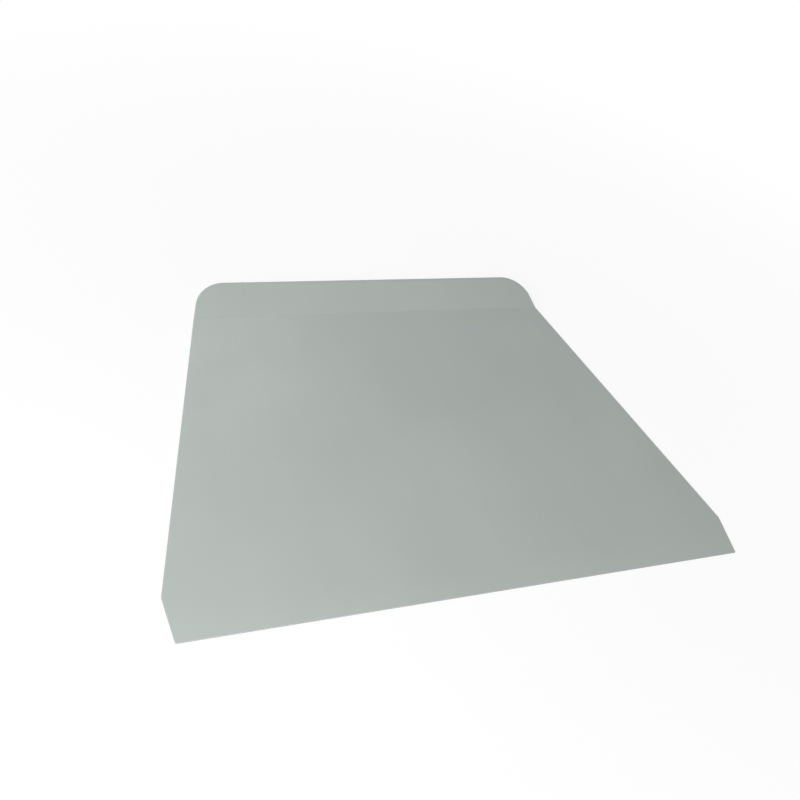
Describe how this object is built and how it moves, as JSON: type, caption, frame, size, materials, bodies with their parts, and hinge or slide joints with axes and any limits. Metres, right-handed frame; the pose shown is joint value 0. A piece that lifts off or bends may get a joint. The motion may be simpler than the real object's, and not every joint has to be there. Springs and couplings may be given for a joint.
{
  "type": "dough scraper",
  "caption": "Flat trapezoid dough scraper: a flexible plastic blade that tapers to a straight thin working edge, with a thicker rounded grip moulded along its top.",
  "frame": {"origin": "under the middle of the card, on the plane of its flat back", "axes": "+X along the working edge, +Y from the working edge to the grip, +Z out of the front face; the scraper lies on its back"},
  "size_m": [0.1598, 0.12, 0.0063],
  "materials": {
    "blade_plastic": "satin, fine moulded texture",
    "grip_plastic": "satin, fine moulded texture"
  },
  "bodies": {
    "root": {"blade": "blade_plastic", "grip": "grip_plastic"}
  },
  "joints": []
}
